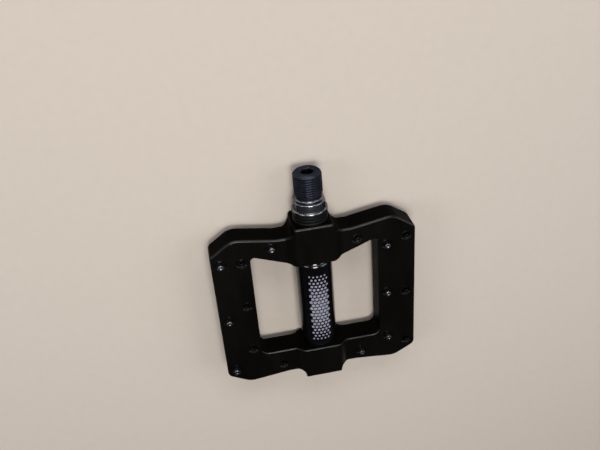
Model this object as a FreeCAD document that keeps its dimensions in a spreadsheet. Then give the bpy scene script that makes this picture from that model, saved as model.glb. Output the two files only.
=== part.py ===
"""Flat bicycle pedal: a moulded platform over a barrel sleeve, turning on a threaded spindle.

Frame, in millimetres: the origin is on the spindle's axis at the shoulder that seats on the
crank. +Y runs along the spindle into the crank, +Z is up with the pedal lying flat, and X
runs across the rails. Lengths named "_at" are distances from the crank shoulder towards the
pedal's outer end, so a station at 40 lies at Y = -40.
"""

import FreeCAD, Part
import math
import os
import re
import Sketcher

DIMENSIONS = {
    # platform outline, half of it: the other half is its mirror image
    "platform_half_width": 52.5,
    "platform_half_thickness": 6.5,
    "wing_dip_at": 17.5,
    "wing_dip_half_width": 19.0,
    "wing_peak_at": 13.8,
    "wing_peak_half_width": 40.8,
    "corner_inner_at": 22.0,
    "corner_outer_at": 99.5,
    "outer_peak_at": 106.0,
    "outer_dip_at": 103.6,
    "corner_round": 3.5,
    "wing_round": 9.0,
    "edge_round": 0.8,
    # hubs at the two ends of the platform, thicker than its wings
    "hub_face_at": 11.5,
    "hub_inner_at": 33.5,
    "outer_hub_inner_at": 88.3,
    "outer_hub_face_at": 107.5,
    "hub_half_height": 10.0,
    "hub_half_width": 10.2,
    "hub_top_half_width": 9.2,
    "hub_flank_half_width": 14.6,
    "hub_flank_height": 6.2,
    "hub_curve": 5.2,
    "outer_hub_curve": 3.3,
    "hub_edge_round": 0.8,
    # the open space between the rails, which the barrel crosses
    "opening_half_width": 32.7,
    "opening_shoulder_half_width": 11.5,
    "opening_corner_at": 25.3,
    "opening_inner_round": 2.0,
    "opening_outer_round": 4.0,
    # barrel sleeve
    "barrel_radius": 9.5,
    "barrel_start_at": 34.6,
    "barrel_end_at": 87.2,
    "barrel_shoulder_round": 0.9,
    "sleeve_neck_radius": 8.5,
    "sleeve_start_at": 15.0,
    "sleeve_end_at": 106.0,
    "sleeve_bore_radius": 6.4,
    # spindle
    "thread_radius": 7.144,
    "thread_length": 14.5,
    "thread_chamfer": 1.0,
    "collar_radius": 9.0,
    "wrench_radius": 8.75,
    "wrench_half_flats": 7.5,
    "wrench_end_at": 4.1,
    "collar_groove_radius": 8.2,
    "collar_groove_width": 0.6,
    "collar_end_at": 6.5,
    "rim_chamfer": 0.3,
    "bush_journal_radius": 6.0,
    "taper_start_at": 42.0,
    "taper_end_radius": 4.3,
    "nut_thread_radius": 3.0,
    "spindle_end_at": 102.4,
    "hex_key_flats": 6.0,
    "hex_key_depth": 8.0,
    # dust seal between the collar and the platform
    "seal_radius": 8.8,
    "seal_groove_radius": 8.0,
    "seal_start_at": 6.9,
    "seal_spigot_radius": 7.8,
    "seal_spigot_end_at": 14.0,
    "seal_rib": 0.8,
    "running_gap": 0.05,
    # flanged bush
    "bush_outer_radius": 7.5,
    "bush_flange_end_at": 15.0,
    "bush_end_at": 25.0,
    # bearings: the inboard one is a 10 x 15 x 4, the outboard one a 7 x 14 x 5
    "inboard_bearing_at": 34.5,
    "inboard_bearing_width": 4.0,
    "inboard_bearing_bore": 5.0,
    "inboard_bearing_outer": 7.5,
    "inboard_bearing_ball": 0.79,
    "outboard_bearing_at": 92.5,
    "outboard_bearing_width": 5.0,
    "outboard_bearing_bore": 3.5,
    "outboard_bearing_outer": 7.0,
    "outboard_bearing_ball": 1.19,
    "race_clearance": 0.03,
    "race_land_share": 0.58,
    "pocket_clearance": 0.06,
    "cage_half_thickness": 0.3,
    "cage_margin": 0.4,
    "shield_thickness": 0.3,
    "shield_inset": 0.15,
    # nut and washer at the spindle's outer end
    "washer_thickness": 0.8,
    "washer_radius": 5.6,
    "nut_thickness": 3.5,
    "nut_flats": 10.0,
    # end cap
    "cap_plug_at": 103.0,
    "cap_radius": 8.7,
    "cap_recess_radius": 8.9,
    "cap_face_at": 107.3,
    "cap_slot_width": 1.6,
    "cap_slot_depth": 0.7,
    "cap_slot_half_length": 5.5,
    "ring_section": 0.5,
    "ring_at": 104.8,
    # grip pins
    "pin_radius": 2.0,
    "pin_tip_radius": 1.45,
    "pin_height": 3.0,
    "pin_sink": 1.0,
    "pin_key_flats": 2.0,
    "pin_key_depth": 2.2,
    "pin_seat_depth": 0.5,
    "pin_seat_radius": 2.9,
    "pin_tip_taper": 0.25,
}

# Each bearing: the prefix of its names and how many balls it has.
BEARINGS = {"inboard": 14, "outboard": 9}

# Where the pins stand, as (X, station): three along each rail and one on each crossbar. Upper
# pins point up and are screwed in from below; lower pins point down, with their sockets on top.
UPPER_PINS = [(-47.6, 26.8), (-47.6, 62.0), (-47.6, 95.5),
              (37.1, 30.1), (37.1, 60.2), (37.1, 90.3),
              (-21.7, 21.5), (21.7, 97.5)]
LOWER_PINS = [(-37.2, 27.8), (-37.2, 54.7), (-37.2, 83.2),
              (47.6, 26.8), (47.6, 62.0), (47.6, 95.5),
              (21.9, 24.0), (-21.7, 97.5)]

FULL_TURN = 360.0
HALF_TURN = 180.0
ROOT_THREE = "1.7320508"
EXACT = 1e-6
NEARBY = 1e-3
LABEL_OF_SHEET = "Dims"

doc = FreeCAD.newDocument("FlatPedal")
sheet = doc.addObject("Spreadsheet::Sheet", LABEL_OF_SHEET)
pieces = []


def fill_sheet():
    """Write every driving dimension as plain text beside its name, and alias its cell."""
    for row, (name, value) in enumerate(DIMENSIONS.items(), start=1):
        sheet.set(f"A{row}", name)
        sheet.set(f"B{row}", str(value))
        sheet.setAlias(f"B{row}", name)
    doc.recompute()


def bound(expression):
    """Turn names of driving dimensions in an expression into references to the sheet."""
    return re.sub(r"[a-z_]{4,}", lambda word: f"{LABEL_OF_SHEET}.{word.group(0)}", str(expression))


def value_of(expression):
    """Work out an expression of driving dimensions: a sum of terms, each a product or quotient."""
    total = 0.0
    for sign, term in re.findall(r"([+-]?)\s*([^+-]+)", str(expression)):
        product = 1.0
        for operator, factor in re.findall(r"([*/]?)\s*([a-z_0-9.]+)", term):
            number = float(DIMENSIONS[factor]) if factor in DIMENSIONS else float(factor)
            product = product / number if operator == "/" else product * number
        total += -product if sign == "-" else product
    return total


def keep(piece, label):
    """Label an object as a finished sub-part, to be checked and written out."""
    piece.Label = label
    pieces.append(piece)
    return piece


def origin_feature(body, role):
    """One of a body's own origin planes or axes, found by its role."""
    return next(item for item in body.Origin.OriginFeatures if item.Role == role)


def new_sketch(body, name, plane):
    sketch = body.newObject("Sketcher::SketchObject", name)
    sketch.AttachmentSupport = (origin_feature(body, plane), [""])
    sketch.MapMode = "FlatFace"
    return sketch


def pin_point(sketch, geometry, end, across, along):
    """Fix one end of a line, or a circle's centre, at two expressions from the sketch's origin."""
    for kind, expression in (("DistanceX", across), ("DistanceY", along)):
        constraint = Sketcher.Constraint(kind, -1, 1, geometry, end, value_of(expression))
        index = sketch.addConstraint(constraint)
        sketch.setExpression(f"Constraints[{index}]", bound(expression))


def arc_between(start, end, side, radius):
    """The short arc between two points, with its centre left (1) or right (-1) of the way there.

    The arc itself always runs counter-clockwise, so with its centre on the right it starts at end.
    """
    chord = end - start
    left = FreeCAD.Vector(-chord.y, chord.x, 0).normalize()
    rise = math.sqrt(radius ** 2 - (chord.Length / 2) ** 2)
    centre = (start + end) * 0.5 + left * rise * side
    first, last = [math.atan2(point.y - centre.y, point.x - centre.x)
                   for point in ((start, end) if side > 0 else (end, start))]
    circle = Part.Circle(centre, FreeCAD.Vector(0, 0, 1), radius)
    return Part.ArcOfCircle(circle, first, last if last > first else last + math.tau)


def draw_outline(sketch, points):
    """Draw a closed outline with every corner fixed by expressions.

    A corner is (across, along), followed by a line to the next corner, or
    (across, along, side, radius), followed by an arc whose centre is to the left (1) or right (-1).
    """
    corners = [FreeCAD.Vector(value_of(point[0]), value_of(point[1]), 0) for point in points]
    spans = []
    for index, point in enumerate(points):
        start = corners[index]
        end = corners[(index + 1) % len(corners)]
        if len(point) == 2:
            spans.append((sketch.addGeometry(Part.LineSegment(start, end), False), 1, 2))
            continue
        number = sketch.addGeometry(arc_between(start, end, point[2], value_of(point[3])), False)
        spans.append((number, 1, 2) if point[2] > 0 else (number, 2, 1))
    for index, (number, begin, finish) in enumerate(spans):
        following, following_begin, _ = spans[(index + 1) % len(spans)]
        sketch.addConstraint(Sketcher.Constraint("Coincident", number, finish, following, following_begin))
        pin_point(sketch, number, begin, points[index][0], points[index][1])
    for (number, _, _), point in zip(spans, points):
        if len(point) == 4:
            bind_radius(sketch, number, point[3])


def bind_radius(sketch, number, radius):
    index = sketch.addConstraint(Sketcher.Constraint("Radius", number, value_of(radius)))
    sketch.setExpression(f"Constraints[{index}]", bound(radius))


def draw_circle(sketch, across, along, radius):
    centre = FreeCAD.Vector(value_of(across), value_of(along), 0)
    circle = sketch.addGeometry(Part.Circle(centre, FreeCAD.Vector(0, 0, 1), value_of(radius)), False)
    bind_radius(sketch, circle, radius)
    pin_point(sketch, circle, 3, across, along)


def draw_hexagon(sketch, flats):
    """A hexagon centred on the sketch's origin, with two corners on its horizontal axis."""
    corner = f"{flats} / {ROOT_THREE}"
    half = f"{flats} / 2"
    points = [(corner, "0"), (f"{corner} / 2", half), (f"-{corner} / 2", half),
              (f"-{corner}", "0"), (f"-{corner} / 2", f"-{half}"), (f"{corner} / 2", f"-{half}")]
    draw_outline(sketch, points)


def negated(expression):
    """The same expression with the sign of every term turned over."""
    terms = re.findall(r"([+-]?)\s*([^+-]+)", expression)
    return " ".join(("" if sign == "-" else "-") + term.strip() if index == 0 else
                    ("+ " if sign == "-" else "- ") + term.strip()
                    for index, (sign, term) in enumerate(terms))


def flipped(arc):
    """An arc's side and radius as they are in a mirror."""
    return (-arc[0], arc[1]) if arc else ()


def mirrored(half):
    """Close a half outline with its mirror image in the along axis, arcs included."""
    other = []
    for index in reversed(range(len(half))):
        arc = half[index - 1][2:] if index else ()
        other.append((negated(half[index][0]), half[index][1]) + arc)
    return half + other


def turned(label, points):
    """A body of revolution about the Y axis from a profile of (radius, Y) corners."""
    body = doc.addObject("PartDesign::Body", label)
    sketch = new_sketch(body, f"{label}_profile", "XY_Plane")
    draw_outline(sketch, points)
    revolution = body.newObject("PartDesign::Revolution", f"{label}_turned")
    revolution.Profile = sketch
    revolution.ReferenceAxis = (sketch, ["V_Axis"])
    revolution.Angle = FULL_TURN
    sketch.Visibility = False
    body.Tip = revolution
    doc.recompute()
    return body


def pocket_through(body, sketch, name):
    """Cut a sketch through the whole body, both ways from its plane."""
    before = body.Shape.Volume
    pocket = body.newObject("PartDesign::Pocket", name)
    pocket.Profile = sketch
    pocket.Type = "ThroughAll"
    pocket.Midplane = True
    body.Tip = pocket
    doc.recompute()
    assert pocket.Shape.Volume < before, f"{name} removes nothing"
    return pocket


def pocket_deep(body, sketch, name, depth, reverse):
    """Cut a sketch to a depth on one side of its plane."""
    before = body.Shape.Volume
    pocket = body.newObject("PartDesign::Pocket", name)
    pocket.Profile = sketch
    pocket.Length = value_of(depth)
    pocket.setExpression("Length", bound(depth))
    pocket.Reversed = reverse
    body.Tip = pocket
    doc.recompute()
    assert pocket.Shape.Volume < before, f"{name} removes nothing"
    return pocket


def pad_both_ways(body, sketch, name, length):
    pad = body.newObject("PartDesign::Pad", name)
    pad.Profile = sketch
    pad.Midplane = True
    pad.Length = value_of(length)
    pad.setExpression("Length", bound(length))
    body.Tip = pad
    doc.recompute()
    return pad


def groove_round(body, name, points=(), circle=()):
    """Turn an outline, or a circle (radius from the axis, Y, its own radius), out of a body."""
    before = body.Shape.Volume
    sketch = new_sketch(body, f"{name}_profile", "XY_Plane")
    if points:
        draw_outline(sketch, points)
    else:
        draw_circle(sketch, *circle)
    groove = body.newObject("PartDesign::Groove", name)
    groove.Profile = sketch
    groove.ReferenceAxis = (sketch, ["V_Axis"])
    groove.Angle = FULL_TURN
    body.Tip = groove
    doc.recompute()
    assert groove.Shape.Volume < before, f"{name} removes nothing"
    return groove


def dress(body, kind, name, edges, size):
    """Round (Fillet) or bevel (Chamfer) some edges of the body's last feature."""
    previous = body.Tip
    feature = body.newObject(f"PartDesign::{kind}", name)
    feature.Base = (previous, edges)
    target = "Radius" if kind == "Fillet" else "Size"
    setattr(feature, target, value_of(size))
    feature.setExpression(target, bound(size))
    body.Tip = feature
    doc.recompute()
    return feature


def edges_where(body, accept):
    """Names of the edges of a body's last feature for which a test is true."""
    found = enumerate(body.Tip.Shape.Edges, start=1)
    return [f"Edge{number}" for number, edge in found if accept(edge)]


def upright_edges_at(body, places):
    """Names of the edges along Z that stand at the given (X, Y) places, both sides of the middle."""
    def accept(edge):
        ends = [vertex.Point for vertex in edge.Vertexes]
        if len(ends) != 2 or abs(ends[0].x - ends[1].x) + abs(ends[0].y - ends[1].y) > EXACT:
            return False
        near = [math.hypot(abs(ends[0].x) - across, ends[0].y - along) for across, along in places]
        return min(near) < NEARBY
    return edges_where(body, accept)


def add_platform_body():
    """The moulded platform: two rails, two crossbars and a thicker hub at each end."""
    body = doc.addObject("PartDesign::Body", "platform_body")

    # A bar the whole length of the platform, with the hubs' section: flat top, sloping flanks.
    section = new_sketch(body, "hub_section", "XZ_Plane")
    draw_outline(section, mirrored([
        ("hub_top_half_width", "-hub_half_height"), ("hub_flank_half_width", "-hub_flank_height"),
        ("hub_flank_half_width", "hub_flank_height"), ("hub_top_half_width", "hub_half_height")]))
    bar = body.newObject("PartDesign::Pad", "hub_bar")
    bar.Profile = section
    bar.Length = value_of("outer_hub_face_at")
    bar.setExpression("Length", bound("outer_hub_face_at"))
    body.Tip = bar
    doc.recompute()
    bar.Reversed = bar.Shape.BoundBox.YMax > 1.0
    doc.recompute()

    # Its ends are narrow: the flanks stop short of the hub faces at a concave curve. Each of the
    # four cuts is a sketch of its own, drawn on the right and then mirrored to the left.
    inner_cut = [
        ("hub_half_width", "0"), ("hub_half_width", "-wing_dip_at + hub_curve", 1, "hub_curve"),
        ("hub_half_width + hub_curve", "-wing_dip_at"), ("platform_half_width", "-wing_dip_at"),
        ("platform_half_width", "0")]
    outer_cut = [
        ("hub_half_width", "-outer_dip_at * 2"),
        ("hub_half_width", "-outer_dip_at - outer_hub_curve", -1, "outer_hub_curve"),
        ("hub_half_width + outer_hub_curve", "-outer_dip_at"), ("platform_half_width", "-outer_dip_at"),
        ("platform_half_width", "-outer_dip_at * 2")]
    for name, cut in (("inner_end", inner_cut), ("outer_end", outer_cut)):
        other = [(negated(point[0]), point[1]) + flipped(point[2:]) for point in cut]
        for side, outline in (("right", cut), ("left", other)):
            end_cut = new_sketch(body, f"{name}_{side}_outline", "XY_Plane")
            draw_outline(end_cut, outline)
            pocket_through(body, end_cut, f"{name}_{side}")
    face = new_sketch(body, "hub_face_cut", "XY_Plane")
    draw_outline(face, [("-platform_half_width", "-hub_face_at"), ("platform_half_width", "-hub_face_at"),
                        ("platform_half_width", "hub_face_at"), ("-platform_half_width", "hub_face_at")])
    pocket_through(body, face, "hub_face")

    # The plate: rails and wings, with shallow waves in the two edges that cross the axle.
    plate = new_sketch(body, "platform_outline", "XY_Plane")
    draw_outline(plate, mirrored([
        ("hub_half_width", "-hub_face_at"), ("hub_half_width", "-wing_dip_at + hub_curve", 1, "hub_curve"),
        ("hub_half_width + hub_curve", "-wing_dip_at"),
        ("wing_dip_half_width", "-wing_dip_at"), ("wing_peak_half_width", "-wing_peak_at"),
        ("platform_half_width", "-corner_inner_at"), ("platform_half_width", "-corner_outer_at"),
        ("wing_peak_half_width", "-outer_peak_at"), ("wing_dip_half_width", "-outer_dip_at"),
        ("hub_half_width + outer_hub_curve", "-outer_dip_at", 1, "outer_hub_curve"),
        ("hub_half_width", "-outer_dip_at - outer_hub_curve"),
        ("hub_half_width", "-outer_hub_face_at")]))
    pad_both_ways(body, plate, "platform_plate", "platform_half_thickness * 2")

    # The opening between the rails, with its sloping shoulders beside the inner hub.
    opening = new_sketch(body, "opening_outline", "XY_Plane")
    draw_outline(opening, mirrored([
        ("opening_shoulder_half_width", "-hub_inner_at"), ("opening_half_width", "-opening_corner_at"),
        ("opening_half_width", "-outer_hub_inner_at")]))
    pocket_through(body, opening, "opening")

    # Round the upright corners while they are still plain.
    dims = DIMENSIONS
    width = dims["platform_half_width"]
    peak = dims["wing_peak_half_width"]
    dip = dims["wing_dip_half_width"]
    rounds = {
        "corner_round": [(width, -dims["corner_inner_at"]), (width, -dims["corner_outer_at"])],
        "wing_round": [(peak, -dims["wing_peak_at"]), (peak, -dims["outer_peak_at"]),
                       (dip, -dims["wing_dip_at"]), (dip, -dims["outer_dip_at"])],
        "opening_inner_round": [(dims["opening_half_width"], -dims["opening_corner_at"])],
        "opening_outer_round": [(dims["opening_half_width"], -dims["outer_hub_inner_at"])],
    }
    for size, places in rounds.items():
        dress(body, "Fillet", f"{size}s", upright_edges_at(body, places), size)
    return body


def add_platform_details(body):
    """Bores for the barrel sleeve, rounded edges, and the pins' holes and seats."""
    half = DIMENSIONS["platform_half_thickness"]
    top = DIMENSIONS["hub_half_height"]
    flank = DIMENSIONS["hub_flank_half_width"]

    def in_plane(edge, height):
        box = edge.BoundBox
        return box.ZLength < EXACT and abs(abs(box.ZMin) - height) < EXACT

    def on_rim(edge):
        box = edge.BoundBox
        beside_hub = box.XLength < EXACT and abs(box.XMin) < flank
        return in_plane(edge, half) and not beside_hub

    def on_hub_end(edge):
        return in_plane(edge, top) and edge.BoundBox.YLength < EXACT

    dress(body, "Fillet", "plate_edges", edges_where(body, on_rim), "edge_round")
    dress(body, "Fillet", "hub_edges", edges_where(body, on_hub_end), "hub_edge_round")

    groove_round(body, "inner_hub_bore", [
        ("0", "-hub_face_at + 1"), ("seal_spigot_radius", "-hub_face_at + 1"),
        ("seal_spigot_radius", "-sleeve_start_at"), ("sleeve_neck_radius", "-sleeve_start_at"),
        ("sleeve_neck_radius", "-hub_inner_at - 1"), ("0", "-hub_inner_at - 1")])
    groove_round(body, "outer_hub_bore", [
        ("0", "-outer_hub_inner_at + 1"), ("sleeve_neck_radius", "-outer_hub_inner_at + 1"),
        ("sleeve_neck_radius", "-sleeve_end_at"), ("cap_recess_radius", "-sleeve_end_at"),
        ("cap_recess_radius", "-outer_hub_face_at - 1"), ("0", "-outer_hub_face_at - 1")])

    holes = new_sketch(body, "pin_hole_centres", "XY_Plane")
    for across, station in UPPER_PINS + LOWER_PINS:
        draw_circle(holes, str(across), str(-station), "pin_radius")
    pocket_through(body, holes, "pin_holes")
    for side, name in ((1, "upper"), (-1, "lower")):
        seats = new_sketch(body, f"{name}_seat_centres", "XY_Plane")
        seats.AttachmentOffset = FreeCAD.Placement(FreeCAD.Vector(0, 0, side * half), FreeCAD.Rotation())
        sign = "" if side > 0 else "-"
        seats.setExpression("AttachmentOffset.Base.z", f"{sign}{bound('platform_half_thickness')}")
        for across, station in UPPER_PINS + LOWER_PINS:
            draw_circle(seats, str(across), str(-station), "pin_seat_radius")
        pocket_deep(body, seats, f"{name}_pin_seats", "pin_seat_depth", reverse=side < 0)
    return body


def add_barrel_sleeve():
    """The tube between the hubs, with a reduced neck inside each hub and seats for both bearings."""
    body = turned("barrel_sleeve", [
        ("bush_outer_radius", "-sleeve_start_at"), ("sleeve_neck_radius", "-sleeve_start_at"),
        ("sleeve_neck_radius", "-barrel_start_at"), ("barrel_radius", "-barrel_start_at"),
        ("barrel_radius", "-barrel_end_at"), ("sleeve_neck_radius", "-barrel_end_at"),
        ("sleeve_neck_radius", "-sleeve_end_at"), ("outboard_bearing_outer", "-sleeve_end_at"),
        ("outboard_bearing_outer", "-outboard_bearing_at"), ("sleeve_bore_radius", "-outboard_bearing_at"),
        ("sleeve_bore_radius", "-inboard_bearing_at - inboard_bearing_width"),
        ("inboard_bearing_outer", "-inboard_bearing_at - inboard_bearing_width")])
    radius = DIMENSIONS["barrel_radius"]

    def is_shoulder(edge):
        box = edge.BoundBox
        return box.YLength < EXACT and abs(box.XMax - radius) < EXACT

    dress(body, "Fillet", "barrel_shoulders", edges_where(body, is_shoulder), "barrel_shoulder_round")
    return body


def add_spindle():
    """The spindle: crank thread, wrench collar, flange, journals, long taper and nut thread."""
    tip = "thread_length"
    flange_start = "-wrench_end_at - collar_groove_width"
    body = turned("spindle", [
        ("0", tip), ("thread_radius - thread_chamfer", tip),
        ("thread_radius", "thread_length - thread_chamfer"), ("thread_radius", "0"),
        ("wrench_radius - rim_chamfer", "0"), ("wrench_radius", "-rim_chamfer"),
        ("wrench_radius", "-wrench_end_at"), ("collar_groove_radius", "-wrench_end_at"),
        ("collar_groove_radius", flange_start), ("collar_radius - rim_chamfer", flange_start),
        ("collar_radius", f"{flange_start} - rim_chamfer"),
        ("collar_radius", "-collar_end_at + rim_chamfer"),
        ("collar_radius - rim_chamfer", "-collar_end_at"),
        ("bush_journal_radius", "-collar_end_at"), ("bush_journal_radius", "-inboard_bearing_at"),
        ("inboard_bearing_bore", "-inboard_bearing_at"), ("inboard_bearing_bore", "-taper_start_at"),
        ("taper_end_radius", "-outboard_bearing_at"), ("outboard_bearing_bore", "-outboard_bearing_at"),
        ("outboard_bearing_bore", "-outboard_bearing_at - outboard_bearing_width"),
        ("nut_thread_radius", "-outboard_bearing_at - outboard_bearing_width"),
        ("nut_thread_radius", "-spindle_end_at"), ("0", "-spindle_end_at")])
    flats = new_sketch(body, "wrench_flat_cuts", "XY_Plane")
    for side in ("", "-"):
        draw_outline(flats, [(f"{side}wrench_half_flats", "0"), (f"{side}collar_radius * 2", "0"),
                             (f"{side}collar_radius * 2", "-wrench_end_at"),
                             (f"{side}wrench_half_flats", "-wrench_end_at")])
    pocket_through(body, flats, "wrench_flats")
    key = new_sketch(body, "hex_key_outline", "XZ_Plane")
    set_back(key, "-thread_length")
    draw_hexagon(key, "hex_key_flats")
    pocket_deep(body, key, "hex_key_socket", "hex_key_depth", reverse=True)
    return body


def set_back(sketch, station):
    """Move a sketch on the XZ plane to a station along the spindle."""
    sketch.AttachmentOffset = FreeCAD.Placement(FreeCAD.Vector(0, 0, value_of(station)), FreeCAD.Rotation())
    sketch.setExpression("AttachmentOffset.Base.z", bound(station))


def add_dust_seal():
    """The ribbed rubber seal: three ribs outside, and a spigot in the hub's recess."""
    steps = [("bush_journal_radius + running_gap", "-seal_start_at"), ("seal_radius", "-seal_start_at")]
    at = "-seal_start_at"
    for _ in range(2):
        steps += [("seal_radius", f"{at} - seal_rib"), ("seal_groove_radius", f"{at} - seal_rib"),
                  ("seal_groove_radius", f"{at} - seal_rib - seal_rib"),
                  ("seal_radius", f"{at} - seal_rib - seal_rib")]
        at += " - seal_rib - seal_rib"
    steps += [("seal_radius", "-hub_face_at"), ("seal_spigot_radius", "-hub_face_at"),
              ("seal_spigot_radius", "-seal_spigot_end_at"),
              ("bush_journal_radius + running_gap", "-seal_spigot_end_at")]
    return turned("dust_seal", steps)


def add_plain_bush():
    """The flanged bush that carries the spindle's journal inside the inner hub."""
    return turned("plain_bush", [
        ("bush_journal_radius + running_gap", "-seal_spigot_end_at"),
        ("seal_spigot_radius", "-seal_spigot_end_at"), ("seal_spigot_radius", "-bush_flange_end_at"),
        ("bush_outer_radius", "-bush_flange_end_at"), ("bush_outer_radius", "-bush_end_at"),
        ("bush_journal_radius + running_gap", "-bush_end_at")])


def add_bearing(end, ball_count):
    """A sealed ball bearing as its separate pieces: two races, balls, cage and two shields."""
    name = f"{end}_bearing"
    start = f"{name}_at"
    width = f"{name}_width"
    bore = f"{name}_bore"
    outer = f"{name}_outer"
    ball = f"{name}_ball"
    pitch = f"{bore} / 2 + {outer} / 2"
    middle = f"-{start} - {width} / 2"
    finish = f"-{start} - {width}"
    track = f"{ball} + race_clearance"

    # Each race is a plain ring with the balls' track turned into it.
    inner_land = f"{pitch} - {ball} * race_land_share"
    outer_land = f"{pitch} + {ball} * race_land_share"
    for label, low, high in ((f"{end}_inner_race", bore, inner_land),
                             (f"{end}_outer_race", outer_land, outer)):
        race = turned(label, [(low, f"-{start}"), (high, f"-{start}"), (high, finish), (low, finish)])
        groove_round(race, f"{label}_track", circle=(pitch, middle, track))
        keep(race, label)

    # The cage is a thin ring with one round pocket for each ball.
    cage = turned(f"{end}_cage", [
        (f"{pitch} - cage_half_thickness", f"{middle} + {ball} + cage_margin"),
        (f"{pitch} + cage_half_thickness", f"{middle} + {ball} + cage_margin"),
        (f"{pitch} + cage_half_thickness", f"{middle} - {ball} - cage_margin"),
        (f"{pitch} - cage_half_thickness", f"{middle} - {ball} - cage_margin")])
    window = new_sketch(cage, f"{end}_cage_window", "XY_Plane")
    draw_circle(window, "0", middle, f"{ball} + pocket_clearance")
    pocket = pocket_deep(cage, window, f"{end}_cage_pocket", f"{outer}", reverse=True)
    pattern = cage.newObject("PartDesign::PolarPattern", f"{end}_cage_pockets")
    pattern.Originals = [pocket]
    pattern.Axis = (origin_feature(cage, "Y_Axis"), [""])
    pattern.Angle = FULL_TURN
    pattern.Occurrences = ball_count
    before = cage.Shape.Volume
    cage.Tip = pattern
    doc.recompute()
    assert pattern.Shape.Volume < before, "the cage's pockets are missing"
    keep(cage, f"{end}_cage")

    # The balls stand in the cage's pockets, the first one straight up.
    balls = []
    for number in range(ball_count):
        turn = FULL_TURN * number / ball_count
        sphere = doc.addObject("Part::Sphere", f"{end}_ball_{number + 1}")
        sphere.setExpression("Radius", bound(ball))
        sphere.setExpression("Placement.Base.x", f"({bound(pitch)}) * sin({turn} deg)")
        sphere.setExpression("Placement.Base.y", bound(middle))
        sphere.setExpression("Placement.Base.z", f"({bound(pitch)}) * cos({turn} deg)")
        balls.append(sphere)
    group(f"{end}_balls", balls)

    # A thin shield closes each side, seated in the outer race and just clear of the inner one.
    shields = []
    for side, station in (("near", f"{start} + shield_inset"),
                          ("far", f"{start} + {width} - shield_inset - shield_thickness")):
        shields.append(ring(f"{end}_{side}_shield", f"{inner_land} + running_gap", outer_land,
                            station, "shield_thickness"))
    group(f"{end}_shields", shields)


def group(label, members):
    """Several separate solids as one sub-part."""
    compound = doc.addObject("Part::Compound", label)
    compound.Links = members
    return keep(compound, label)


def along_spindle(primitive, station):
    """Lay a primitive that is made along +Z along -Y instead, starting at a station."""
    primitive.Placement = FreeCAD.Placement(FreeCAD.Vector(0, -value_of(station), 0),
                                            FreeCAD.Rotation(FreeCAD.Vector(1, 0, 0), 90))
    primitive.setExpression("Placement.Base.y", f"-({bound(station)})")


def ring(label, inner, outer, station, thickness):
    """A flat ring about the Y axis, made as one cylinder cut from another."""
    blanks = []
    for part, radius in (("disc", outer), ("hole", inner)):
        cylinder = doc.addObject("Part::Cylinder", f"{label}_{part}")
        cylinder.setExpression("Radius", bound(radius))
        cylinder.setExpression("Height", bound(thickness))
        along_spindle(cylinder, station)
        blanks.append(cylinder)
    cut = doc.addObject("Part::Cut", label)
    cut.Base, cut.Tool = blanks
    return cut


def add_axle_washer():
    bearing_end = "-outboard_bearing_at - outboard_bearing_width"
    return turned("axle_washer", [
        ("nut_thread_radius", bearing_end), ("washer_radius", bearing_end),
        ("washer_radius", f"{bearing_end} - washer_thickness"),
        ("nut_thread_radius", f"{bearing_end} - washer_thickness")])


def add_axle_nut():
    """The hexagon nut that holds the outboard bearing on the spindle."""
    body = doc.addObject("PartDesign::Body", "axle_nut")
    outline = new_sketch(body, "axle_nut_outline", "XZ_Plane")
    set_back(outline, "outboard_bearing_at + outboard_bearing_width + washer_thickness")
    draw_hexagon(outline, "nut_flats")
    draw_circle(outline, "0", "0", "nut_thread_radius")
    pad = body.newObject("PartDesign::Pad", "axle_nut_blank")
    pad.Profile = outline
    pad.setExpression("Length", bound("nut_thickness"))
    body.Tip = pad
    doc.recompute()
    return body


def add_end_cap():
    """The cap that closes the outer end: a plug with a ring groove, a flange and a coin slot."""
    groove_start = "-ring_at + ring_section"
    body = turned("end_cap", [
        ("0", "-cap_plug_at"), ("outboard_bearing_outer", "-cap_plug_at"),
        ("outboard_bearing_outer", groove_start),
        ("outboard_bearing_outer - ring_section * 2", groove_start),
        ("outboard_bearing_outer - ring_section * 2", "-ring_at - ring_section"),
        ("outboard_bearing_outer", "-ring_at - ring_section"), ("outboard_bearing_outer", "-sleeve_end_at"),
        ("cap_radius", "-sleeve_end_at"), ("cap_radius", "-cap_face_at"), ("0", "-cap_face_at")])
    slot = new_sketch(body, "coin_slot_outline", "XZ_Plane")
    set_back(slot, "cap_face_at")
    draw_outline(slot, [
        ("cap_slot_half_length", "cap_slot_width / 2"), ("-cap_slot_half_length", "cap_slot_width / 2"),
        ("-cap_slot_half_length", "-cap_slot_width / 2"), ("cap_slot_half_length", "-cap_slot_width / 2")])
    pocket_deep(body, slot, "coin_slot", "cap_slot_depth", reverse=False)
    return body


def add_cap_ring():
    """The rubber ring in the end cap's groove."""
    torus = doc.addObject("Part::Torus", "end_cap_ring")
    torus.setExpression("Radius1", bound("outboard_bearing_outer - ring_section"))
    torus.setExpression("Radius2", bound("ring_section"))
    along_spindle(torus, "ring_at")
    return torus


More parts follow.
